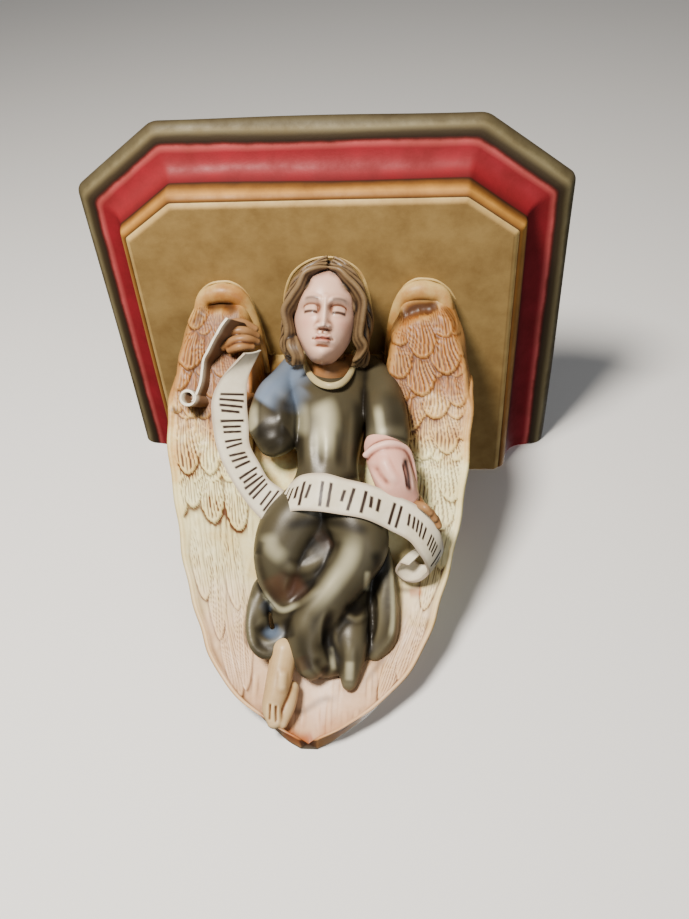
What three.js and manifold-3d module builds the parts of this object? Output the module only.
// Wall corbel cast in plaster: a moulded shelf carried by a seated angel between two wings.
// Millimetres, +Z up, X to the viewer's right. The back lies on the wall plane y = 0 and the
// shelf's underside lies at z = 0. A point of the carving is written [x, out, z], where out
// is the distance in front of the wall.
import * as THREE from "three";
import { mergeVertices } from "three/addons/utils/BufferGeometryUtils.js";
import Module from "manifold-3d";

const wasm = await Module();
wasm.setup();

// Shelf
const fieldWidth = 194;
const fieldDepth = 176;
const chamferAcross = 24;
const chamferBack = 17;
const shelfThickness = 38;
const arrisReach = 3;
const arrisDrop = 2;
const beadReach = 5;
const beadDrop = 10;
const coveReach = 15;
const coveDrop = 12;
const coveHollow = 5;
const rimReach = 10;
const topInset = 3;
const archSteps = 4;

// Carving: its coordinates are shares of its own height, one unit for each of carvingUnits
const carvingHeight = 195;
const carvingUnits = 195;
const unit = carvingHeight / carvingUnits;
const sunkIntoShelf = 4;

// Body behind the wings
const sideProfile = [
  [0, 136], [-20, 121], [-40, 108], [-60, 94], [-80, 77], [-100, 58], [-120, 41],
  [-140, 28], [-160, 19], [-180, 12], [-191, 9],
];
const frontOutline = [
  [0, 68], [-20, 73.5], [-40, 77], [-60, 76.5], [-80, 74.5], [-100, 70], [-120, 64.5],
  [-140, 57], [-155, 49.5], [-168, 39.5], [-176, 30.5], [-183, 20], [-188, 12], [-191, 5],
];
const wallShare = 0.78;
const dishDepth = 7;
const dishStart = 60;
const shoulderAcross = 52;
const shoulderInner = 18;
const shoulderOuter = 24;
const neckReach = 88;
const shoulderRise = 48;
const shoulderBlend = 8;
const bodyRows = 16;
const frontSteps = 16;
const sideSteps = 2;

// Wings
const rollRadius = 5;
const rimRadius = 1.8;
const featherRows = 5;
const featherPitch = 13;
const featherWidth = 13;
const featherDrop = 17;
const featherThickness = 4;
const featherTilt = 0.3;
const firstRow = -20;
const quillsPerWing = 2;
const innerQuill = 0.55;
const outerQuill = 0.86;
const quillTop = -88;
const quillBottom = -164;
const quillStep = 5;
const quillWidth = 6;
const quillThickness = 2.2;

// Head, in its own frame: across, towards the crown, towards the viewer
const headCentre = [4, 130, -26];
const headTilt = 0.07;
const skull = [17.3, 24.7, 20.5];
const hairThickness = 1.5;
const locksPerSide = 3;
const lockSpread = 5;
const lock = [
  [1.5, 25, 10, 2.4], [11, 21, 13.5, 3.2], [17.2, 10, 11, 3.6], [19.6, -1, 7, 3.8],
  [18.6, -10, 4, 3.4], [18, -20, 0, 2.2],
];

// Cloth and scroll
const foldRadius = 2.1;
const scrollThickness = 2;
const scrollRollRadius = 4.4;
const scrollHoleRadius = 2.8;

const plaster = new THREE.MeshStandardMaterial({ color: 0x8a7a55, roughness: 0.55, metalness: 0 });

function place(x, out, z) {
  return new THREE.Vector3(x * unit, -out * unit, z * unit);
}

// Smooth value of a station list [level, value], read at a level between its ends
function readStations(stations, level) {
  const last = stations.length - 1;
  if (level >= stations[0][0]) return stations[0][1];
  if (level <= stations[last][0]) return stations[last][1];
  const i = stations.findIndex((s) => s[0] <= level);
  const share = (stations[i - 1][0] - level) / (stations[i - 1][0] - stations[i][0]);
  const slope = (k) => {
    const a = stations[Math.max(k - 1, 0)];
    const b = stations[Math.min(k + 1, last)];
    return (b[1] - a[1]) / (a[0] - b[0]);
  };
  const span = stations[i - 1][0] - stations[i][0];
  const s2 = share * share;
  const s3 = s2 * share;
  return (2 * s3 - 3 * s2 + 1) * stations[i - 1][1] + (s3 - 2 * s2 + share) * span * slope(i - 1)
    + (3 * s2 - 2 * s3) * stations[i][1] + (s3 - s2) * span * slope(i);
}

// A closed geometry as a solid, turned so that its faces point outwards
function solid(geometry) {
  const bare = geometry.clone();
  bare.deleteAttribute("normal");
  bare.deleteAttribute("uv");
  const merged = mergeVertices(bare, 1e-4);
  const points = merged.attributes.position.array;
  const corners = merged.index.array;
  const a = new THREE.Vector3();
  const b = new THREE.Vector3();
  const c = new THREE.Vector3();
  const faces = [];
  let volume = 0;
  for (let i = 0; i < corners.length; i += 3) {
    const [p, q, r] = corners.slice(i, i + 3);
    if (p === q || q === r || r === p) continue;
    faces.push([p, q, r]);
    a.fromArray(points, 3 * p);
    b.fromArray(points, 3 * q);
    c.fromArray(points, 3 * r);
    volume += a.dot(b.cross(c));
  }
  const triVerts = Uint32Array.from(faces.flatMap((f) => (volume < 0 ? [f[0], f[2], f[1]] : f)));
  const vertProperties = Float32Array.from(points);
  return new wasm.Manifold(new wasm.Mesh({ numProp: 3, vertProperties, triVerts }));
}

function toGeometry(body) {
  const mesh = body.getMesh();
  const geometry = new THREE.BufferGeometry();
  geometry.setAttribute("position", new THREE.BufferAttribute(mesh.vertProperties, 3));
  geometry.setIndex(new THREE.BufferAttribute(mesh.triVerts, 1));
  geometry.computeVertexNormals();
  return geometry;
}

function joined(bodies) {
  let whole = bodies[0];
  for (const body of bodies.slice(1)) whole = whole.add(body);
  return whole;
}

// Moves every vertex of a geometry to where(point) says
function reshape(geometry, where) {
  const position = geometry.attributes.position;
  const point = new THREE.Vector3();
  for (let i = 0; i < position.count; i += 1) {
    const moved = where(point.fromBufferAttribute(position, i).clone());
    position.setXYZ(i, moved.x, moved.y, moved.z);
  }
  return geometry;
}

// A closed loft: section(turn, level) gives the outline's point at a turn and a level of 0 to 1
function loft(section, around, rows) {
  const tube = new THREE.CylinderGeometry(1, 1, 1, around, rows);
  return solid(reshape(tube, (p) => {
    const level = 0.5 - p.y;
    const turn = (Math.atan2(p.x, p.z) / (2 * Math.PI) + 1) % 1;
    if (Math.hypot(p.x, p.z) > 0.5) return section(turn, level);
    const middle = new THREE.Vector3();
    for (let i = 0; i < around; i += 1) middle.add(section(i / around, level));
    return middle.divideScalar(around);
  }));
}

// A round-ended limb through stations [x, out, z, across, deep]; deep is towards the viewer
const towardsViewer = new THREE.Vector3(0.08, -0.68, -0.73).normalize();
function limb(stations, sides = 8, rows = 2 * stations.length, capRows = 1) {
  const path = new THREE.CatmullRomCurve3(stations.map((s) => place(s[0], s[1], s[2])));
  const girth = new THREE.CatmullRomCurve3(stations.map((s) => new THREE.Vector3(s[3], s[4] ?? s[3], 0)));
  const ball = new THREE.SphereGeometry(1, sides, rows + 2 * capRows);
  const capShare = capRows / (rows + 2 * capRows);
  return solid(reshape(ball, (p) => {
    const row = Math.acos(Math.max(-1, Math.min(1, p.y))) / Math.PI;
    const spin = Math.atan2(p.z, p.x);
    const along = Math.max(0, Math.min(1, (row - capShare) / (1 - 2 * capShare)));
    const fromEnd = row < 0.5 ? row : 1 - row;
    const bend = Math.min(1, fromEnd / capShare) * Math.PI / 2;
    const size = girth.getPoint(along);
    const tangent = path.getTangent(along);
    const side = new THREE.Vector3().crossVectors(tangent, towardsViewer).normalize();
    const front = new THREE.Vector3().crossVectors(side, tangent).normalize();
    const reach = Math.cos(bend) * Math.min(size.x, size.y) * unit * (row < 0.5 ? -1 : 1);
    return path.getPoint(along)
      .addScaledVector(tangent, reach)
      .addScaledVector(side, Math.cos(spin) * Math.sin(bend) * size.x * unit)
      .addScaledVector(front, Math.sin(spin) * Math.sin(bend) * size.y * unit);
  }));
}

// A band with two edges, each a list of points [x, out, z], and one thickness
function band(oneEdge, otherEdge, thickness, stepsPerSpan = 1) {
  const curve = (edge) => new THREE.CatmullRomCurve3(edge.map((p) => place(...p)));
  const one = curve(oneEdge);
  const other = curve(otherEdge);
  const middle = (level) => one.getPoint(level).add(other.getPoint(level)).multiplyScalar(0.5);
  const rows = stepsPerSpan * (oneEdge.length - 1);
  return loft((turn, level) => {
    const corner = Math.round(turn * 4) % 4;
    const a = one.getPoint(level);
    const b = other.getPoint(level);
    const ahead = middle(Math.min(1, level + 0.01)).sub(middle(Math.max(0, level - 0.01)));
    const face = ahead.cross(b.clone().sub(a)).normalize().multiplyScalar(thickness * unit / 2);
    return (corner < 2 ? a : b).add(corner === 0 || corner === 3 ? face : face.negate());
  }, 4, rows);
}

// Shelf: each moulding line is the field's outline moved outwards, mitred, and cut at the wall
function outlineCorners(offset) {
  const halfWidth = fieldWidth / 2;
  const chamfer = Math.atan2(chamferBack, chamferAcross);
  const frontShift = offset * Math.tan(chamfer / 2);
  const sideShift = offset * Math.tan((Math.PI / 2 - chamfer) / 2);
  const right = [
    [halfWidth + offset, 0],
    [halfWidth + offset, -(fieldDepth - chamferBack + sideShift)],
    [halfWidth - chamferAcross + frontShift, -(fieldDepth + offset)],
  ];
  return [...right, ...right.toReversed().map(([x, y]) => [-x, y])];
}

// Moulding profile from the field out and up, as [offset, z]
function mouldingProfile() {
  const points = [[0, 0], [arrisReach, arrisDrop]];
  for (let i = 1; i <= archSteps; i += 1) {
    const angle = (i / archSteps) * Math.PI / 2;
    points.push([arrisReach + beadReach * Math.sin(angle), arrisDrop + beadDrop * (1 - Math.cos(angle))]);
  }
  const [coveStart, coveBottom] = points.at(-1);
  for (let i = 1; i <= archSteps; i += 1) {
    const share = i / archSteps;
    const hollow = coveHollow * Math.sin(share * Math.PI);
    points.push([coveStart + coveReach * share - hollow / 2, coveBottom + coveDrop * share + hollow / 2]);
  }
  const [rimStart, rimBottom] = points.at(-1);
  const rimHeight = shelfThickness - rimBottom;
  for (let i = 1; i < 2 * archSteps; i += 1) {
    const angle = (i / (2 * archSteps)) * Math.PI;
    points.push([rimStart + rimReach * Math.sin(angle), rimBottom + rimHeight * (1 - Math.cos(angle)) / 2]);
  }
  points.push([rimStart - topInset, shelfThickness]);
  return points;
}

function shelf() {
  const profile = mouldingProfile();
  const rows = profile.length - 1;
  return loft((turn, level) => {
    const [offset, z] = profile[Math.round(level * rows)];
    const [x, y] = outlineCorners(offset)[Math.round(turn * 6) % 6];
    return new THREE.Vector3(x, y, z);
  }, 6, rows);
}

function halfWidthAt(z) {
  return readStations(frontOutline, z);
}

function edgeReachAt(z) {
  return readStations(sideProfile, z);
}

// Reach of the wings' shoulders where they meet the shelf
function shoulderReach(x) {
  const off = Math.abs(x) - shoulderAcross;
  const share = Math.min(1, Math.abs(off) / (off < 0 ? shoulderInner : shoulderOuter));
  return neckReach + shoulderRise * Math.sqrt(1 - share * share);
}

// Reach of the wings' front at a place, where the slope and the shoulders blend
function frontReach(x, z) {
  const slope = edgeReachAt(z);
  const wall = shoulderReach(x);
  const near = Math.max(shoulderBlend - Math.abs(slope - wall), 0) / shoulderBlend;
  const dish = dishDepth * Math.min(1, Math.max(0, -z / dishStart));
  const share = Math.min(1, Math.abs(x) / halfWidthAt(z));
  return Math.min(slope, wall) - near * near * shoulderBlend / 4 - dish * (1 - share * share);
}

function body() {
  const backSteps = 2;
  const around = frontSteps + backSteps + 2 * sideSteps;
  const bottom = frontOutline.at(-1)[0];
  return loft((turn, level) => {
    const step = Math.round(turn * around) % around;
    const z = level === 0 ? sunkIntoShelf : bottom * level;
    const half = halfWidthAt(z);
    const sideFrom = frontSteps;
    const backFrom = frontSteps + sideSteps;
    const leftFrom = backFrom + backSteps;
    const sidePoint = (share, sign) => {
      const tuck = half * (1 - wallShare) * Math.sqrt(share);
      return place(sign * (half - tuck), frontReach(half, z) * (1 - share), z);
    };
    if (step <= sideFrom) {
      const x = half * (2 * step / frontSteps - 1);
      return place(x, frontReach(x, z), z);
    }
    if (step <= backFrom) return sidePoint((step - sideFrom) / sideSteps, 1);
    if (step < leftFrom) {
      const share = (step - backFrom) / backSteps;
      return place(half * wallShare * (1 - 2 * share), 0, z);
    }
    return sidePoint(1 - (step - leftFrom) / sideSteps, -1);
  }, around, bodyRows);
}

// Raised rim of one wing: a roll over its shoulder that thins to a bead down to the tip
function wingRim(sign) {
  const shoulder = [
    [sign * 33, neckReach + 2, -13, rimRadius],
    [sign * 38, neckReach + 27, -7, rollRadius * 0.7],
    [sign * 46, neckReach + 42, -5, rollRadius],
    [sign * 55, neckReach + 45, -5, rollRadius],
    [sign * 65, neckReach + 37, -8, rollRadius * 0.8],
  ];
  const edge = [-24, -42, -62, -82, -102, -122, -142, -158, -170, -180, -187]
    .map((z) => [sign * (halfWidthAt(z) - rimRadius / 2), edgeReachAt(z), z, rimRadius]);
  return limb([...shoulder, ...edge], 4, 17);
}

// A place on a wing's front, lifted towards the viewer
function onWing(x, z, lift) {
  return place(x, frontReach(x, z) - towardsViewer.y * lift, z + towardsViewer.z * lift);
}

// One scale feather with its middle at (x, z): a thin oval that rises to its lower end
function feather(x, z) {
  const oval = new THREE.SphereGeometry(1, 6, 4);
  return solid(reshape(oval, (p) => {
    const lift = featherThickness * (p.z / 2 - featherTilt * p.y + 0.1);
    return onWing(x + p.x * featherWidth / 2, z + p.y * featherDrop / 2, lift);
  }));
}

// Overlapping scale feathers over the upper half of one wing, each row shifted by half a feather
function feathers(sign) {
  const list = [];
  for (let row = 0; row < featherRows; row += 1) {
    const z = firstRow - row * featherPitch;
    const shift = row % 2 === 0 ? 0 : featherWidth / 2;
    const outermost = halfWidthAt(z) - rollRadius - featherWidth * 0.4 - shift * 0.9;
    for (let i = 0; i < 3 - (row % 2); i += 1) {
      list.push(feather(sign * (outermost - i * featherWidth * 0.92), z));
    }
  }
  return list;
}

// Long quills fanning from the scale feathers down towards the tip
function quills(sign) {
  const list = [];
  for (let i = 0; i < quillsPerWing; i += 1) {
    const share = innerQuill + (outerQuill - innerQuill) * i / (quillsPerWing - 1);
    const stations = [0, 0.33, 0.66, 1].map((along) => {
      const z = quillTop + (quillBottom + quillStep * i - quillTop) * along;
      const x = sign * share * halfWidthAt(z);
      return [x, frontReach(x, z), z, quillWidth / 2 * (1 - 0.5 * along), quillThickness / 2];
    });
    list.push(limb(stations, 5, 3));
  }
  return list;
}

// A point of the head: across, towards the crown, towards the viewer
const headAcross = new THREE.Vector3(0.9965, 0.054, 0.0635).normalize();
function headPoint(across, crown, viewer) {
  const level = new THREE.Vector3().crossVectors(towardsViewer, headAcross).normalize();
  const side = headAcross.clone().multiplyScalar(Math.cos(headTilt));
  side.addScaledVector(level, -Math.sin(headTilt));
  const up = level.multiplyScalar(Math.cos(headTilt)).addScaledVector(headAcross, Math.sin(headTilt));
  const p = place(...headCentre).divideScalar(unit);
  p.addScaledVector(side, across).addScaledVector(up, crown).addScaledVector(towardsViewer, viewer);
  return [p.x, -p.y, p.z];
}

function headBlob(centre, radii, sides = 10, rings = 8) {
  const ball = new THREE.SphereGeometry(1, sides, rings);
  return solid(reshape(ball, (p) => {
    const narrow = centre[1] === 0 && p.y < 0 ? 1 - 0.28 * p.y * p.y : 1;
    return place(...headPoint(
      centre[0] + p.x * radii[0] * narrow,
      centre[1] + p.y * radii[1],
      centre[2] + p.z * radii[2],
    ));
  }));
}

function headLimb(stations, sides, rows) {
  return limb(stations.map(([a, c, v, r, d]) => [...headPoint(a, c, v), r, d ?? r]), sides, rows);
}

function head() {
  const [wide, tall, deep] = skull;
  const list = [
    headBlob([0, 0, 0], skull, 10, 8),
    headBlob([0, 4, -3], [wide + hairThickness, tall + 1, deep], 10, 8),
    headLimb([[0, 3, deep * 0.86, 1.2], [0, -6, deep + 1.6, 2.4]], 5, 2),
    headLimb([[-3.6, -11, deep * 0.82, 1.2], [0, -10.7, deep * 0.9, 1.9], [3.6, -11, deep * 0.82, 1.2]], 5, 2),
    headBlob([0, -18, deep * 0.55], [5, 4, 5], 6, 4),
  ];
  for (const sign of [-1, 1]) {
    list.push(headLimb([
      [sign * 3, 3.6, deep * 0.86, 1.2],
      [sign * 8, 4.8, deep * 0.8, 1.4],
      [sign * 13, 2.6, deep * 0.52, 1.2],
    ], 5, 2));
    list.push(headBlob([sign * 6.6, 0.6, deep * 0.76], [3.2, 1.8, 2.2], 6, 4));
    for (let i = 0; i < locksPerSide; i += 1) {
      list.push(headLimb(lock.map(([a, c, v, radius], k) => [
        sign * a, c - i, v - lockSpread * i * Math.min(1, (k + 1) / 3), radius,
      ]), 4, 6));
    }
  }
  return list;
}

function torso() {
  return [
    limb([[4, 104, -24, 8, 8], [5, 99, -42, 9, 8]], 8, 2),
    limb([
      [4, 97, -27, 21, 8], [5, 96, -38, 24, 10.5], [6, 94, -56, 20, 13], [6, 87, -75, 16.5, 13],
      [6, 79, -88, 15.5, 12], [5, 68, -98, 23, 14], [4, 58, -106, 25, 15],
    ], 10, 7),
    limb([
      [-8, 104, -32, 1.8], [-4, 108, -46, 1.8], [2, 110, -55, 1.8], [7, 110, -58, 1.8],
      [13, 110, -55, 1.8], [16, 108, -44, 1.8], [17, 103, -28, 1.8],
    ], 5, 6),
  ];
}

// Sleeves, forearms and the turned-back cuff of the under-sleeve
function arms() {
  const leftSleeve = [
    [-18, 93, -17, 6.2, 7], [-21, 95, -34, 7.4, 8.5], [-22, 97, -52, 10, 10], [-21, 97, -69, 12, 10.5],
    [-20, 92, -76, 10.5, 9.5],
  ];
  const leftForearm = [
    [-26, 90, -58, 7], [-38, 93, -49, 5.6], [-45, 98, -36, 5], [-46, 104, -25, 5], [-45, 112, -22, 6.6, 4.8],
  ];
  const rightSleeve = [
    [23, 92, -19, 8.5, 8], [31, 96, -41, 10, 9.5], [34, 98, -63, 10.5, 10], [36, 95, -78, 11, 10],
  ];
  const underSleeve = [
    [34, 93, -83, 9.8, 9], [36, 91, -90, 10, 9], [38, 88, -97, 9.4, 8.4], [41, 84, -102, 8, 7],
  ];
  const rightForearm = [[40, 86, -91, 7], [44, 77, -98, 6, 5], [48, 72, -104, 6, 4]];
  return [
    limb(leftSleeve, 9, 6), limb(leftForearm, 7, 5), limb(rightSleeve, 9, 5), limb(underSleeve, 8, 4),
    limb(rightForearm, 7, 3),
    limb([[26, 95, -92, 1.9], [31, 99, -91, 2.2], [38, 100, -89, 2.2], [45, 95, -87, 1.9]], 5, 4),
  ];
}

// Fingers of both hands: the left grips the scroll's top, the right ones lie over its edge
const fingers = [
  [[-55, 116, -19, 2.2], [-49, 120, -19, 2.8], [-42, 121, -17, 2.6], [-35, 117, -17, 2.1]],
  [[-52, 117, -27, 2.2], [-46, 121, -27, 2.7], [-39, 122, -26, 2.5], [-33, 117, -24, 2]],
  [[-50, 116, -32, 2.2], [-44, 120, -32, 2.6], [-37, 121, -32, 2.4], [-33, 117, -29, 1.9]],
  [[-46, 116, -35, 2], [-40, 119, -36, 2.3], [-35, 117, -33, 1.8]],
  [[49, 74, -105, 2], [52, 79, -111, 2], [54, 76, -115, 1.8]],
  [[53, 72, -107, 2], [56, 75.5, -113, 2], [57, 72, -117, 1.7]],
  [[56, 69, -109, 1.9], [59, 71, -115, 1.9], [59, 67, -119, 1.6]],
];

function hands() {
  return fingers.map((stations) => limb(stations, 4, 2));
}

// The gown's mass below the waist, then the two crossed legs under it and its hanging ends
function gown() {
  return [
    limb([[4, 62, -98, 22, 14], [4, 50, -115, 25, 15], [3, 38, -130, 25, 13], [4, 27, -144, 22, 10],
      [7, 18, -156, 15, 7]], 10, 6),
    limb([[15, 72, -102, 14, 13], [21, 68, -111, 14, 14], [23, 62, -118, 13.5, 14],
      [20, 56, -124, 12.5, 12], [12, 48, -132, 11.5, 11], [3, 39, -141, 11, 10], [-3, 30, -151, 9.5, 9], [0, 22, -159, 8, 7]], 9, 10),
    limb([[-4, 70, -104, 14, 13], [-12, 64, -110, 15, 14], [-16, 57, -119, 13.5, 13],
      [-16, 48, -127, 11.5, 11], [-12, 40, -134, 8, 9]], 9, 6),
    limb([[19, 38, -133, 9, 8], [19, 28, -145, 8.6, 7.5], [19, 21, -156, 6.8, 6], [18, 15, -165, 4, 3.6]], 7, 4),
    limb([[32, 46, -114, 6, 8], [34, 38, -127, 6.5, 7], [35, 28, -139, 6.5, 7], [34, 24, -146, 6, 4],
      [29, 19, -151, 4.5, 3.5]], 7, 5),
    limb([[-25, 42, -130, 5, 6], [-27, 36, -140, 5.5, 6], [-26, 29, -149, 6.5, 6], [-20, 27, -153, 6, 6],
      [-14, 30, -148, 5, 5]], 7, 5),
  ];
}

// Ridges of the cloth, each a list of points that a tapering fold runs through
const folds = [
  [[-27, 61, -126], [-25, 53, -133], [-20, 45, -138], [-14, 40, -141], [-6, 42, -139]],
  [[36, 54, -114], [38, 45, -126], [39, 36, -138], [38, 28, -147], [31, 21, -153]],
  [[-29, 42, -137], [-29, 36, -148], [-27, 31, -156], [-21, 28, -159], [-14, 29, -155]],
  [[-15, 65, -128], [-8, 62, -133], [2, 62, -132], [11, 65, -128]],
  [[29, 50, -128], [26, 43, -135], [19, 42, -138], [13, 44, -137]],
  [[-3, 24, -158], [2, 21, -163], [10, 18, -163]],
  [[-1, 103, -62], [0, 99, -78], [-1, 90, -91]],
  [[11, 103, -62], [11, 99, -78], [11, 90, -91]],
];

function foldRidges() {
  return folds.map((points) => {
    const last = points.length - 1;
    const stations = points.map((p, i) => [...p, foldRadius * (i === 0 || i === last ? 0.6 : 1)]);
    return limb(stations, 4, 2 * last);
  });
}

function foot() {
  return [
    limb([[-12, 22, -150, 5.5], [-14, 20, -158, 5], [-15, 16, -168, 5.5, 5], [-15, 12, -178, 5, 4],
      [-13, 9, -184, 3.5, 3]], 7, 6),
    limb([[-8, 12, -174, 3], [-8, 9, -183, 3], [-9, 7, -187, 2]], 5, 3),
  ];
}

// Scroll: the edges of its two visible runs; the first comes off a small roll, over the hand
const upperRun = [
  [[-62, 104, -56], [-60, 111, -44], [-56, 119, -40], [-51, 128, -37], [-46, 133, -31], [-38, 131, -30]],
  [[-56, 93, -44], [-54, 100, -33], [-51, 108, -28], [-45, 117, -25], [-40, 122, -19], [-34, 121, -20]],
];
const sideRun = [
  [[-35, 125, -50], [-39, 123, -55], [-46, 118, -62], [-50, 111, -70], [-49, 102, -80], [-46, 94, -89],
    [-40, 86, -98], [-32, 77, -106], [-24, 70, -111], [-15, 64, -112]],
  [[-30, 117, -36], [-31, 117, -42], [-34, 114, -56], [-34, 107, -66], [-33, 99, -74], [-32, 93, -82],
    [-27, 87, -89], [-22, 82, -95], [-14, 78, -99], [-7, 72, -100]],
];
const lapRun = [
  [[-10, 84, -99], [-4, 89, -99], [6, 91, -100], [17, 89, -102], [29, 87, -104], [41, 83, -107],
    [50, 79, -109], [57, 73, -112], [61, 65, -115], [62, 55, -116], [58, 47, -117], [52, 45, -116],
    [48, 48, -114]],
  [[-21, 67, -112], [-10, 78, -113], [2, 82, -116], [14, 82, -118], [26, 80, -119], [37, 74, -120],
    [46, 69, -122], [51, 63, -125], [54, 57, -126], [55, 50, -126], [50, 43, -125], [44, 42, -124],
    [40, 46, -122]],
];

// A hollow roll between two places on its axis
function hollowRoll(from, to, outer, inner) {
  const axis = place(...to).sub(place(...from));
  const half = axis.length() / 2;
  const tube = new THREE.LatheGeometry([
    new THREE.Vector2(inner, -half), new THREE.Vector2(outer, -half), new THREE.Vector2(outer, half),
    new THREE.Vector2(inner, half), new THREE.Vector2(inner, -half),
  ], 9);
  tube.applyQuaternion(new THREE.Quaternion().setFromUnitVectors(new THREE.Vector3(0, 1, 0), axis.normalize()));
  const middle = place(...from).add(place(...to)).divideScalar(2);
  tube.translate(middle.x, middle.y, middle.z);
  return solid(tube);
}

function scroll() {
  return [
    hollowRoll([-66, 104, -58], [-60, 93, -47], scrollRollRadius * unit, scrollHoleRadius * unit),
    band(...upperRun, scrollThickness), band(...sideRun, scrollThickness), band(...lapRun, scrollThickness),
    limb([[47, 48, -113, 4], [41, 45, -121, 4]], 7, 1),
  ];
}

function corbel() {
  const carving = [
    body(), wingRim(-1), wingRim(1), ...feathers(-1), ...feathers(1), ...quills(-1), ...quills(1),
    ...head(), ...torso(), ...arms(), ...hands(), ...gown(), ...foldRidges(), ...foot(), ...scroll(),
  ];
  const mesh = new THREE.Mesh(toGeometry(joined([shelf(), ...carving])), plaster);
  mesh.name = "angel_corbel";
  return mesh;
}

const part = new THREE.Group();
part.add(corbel());

export default part;
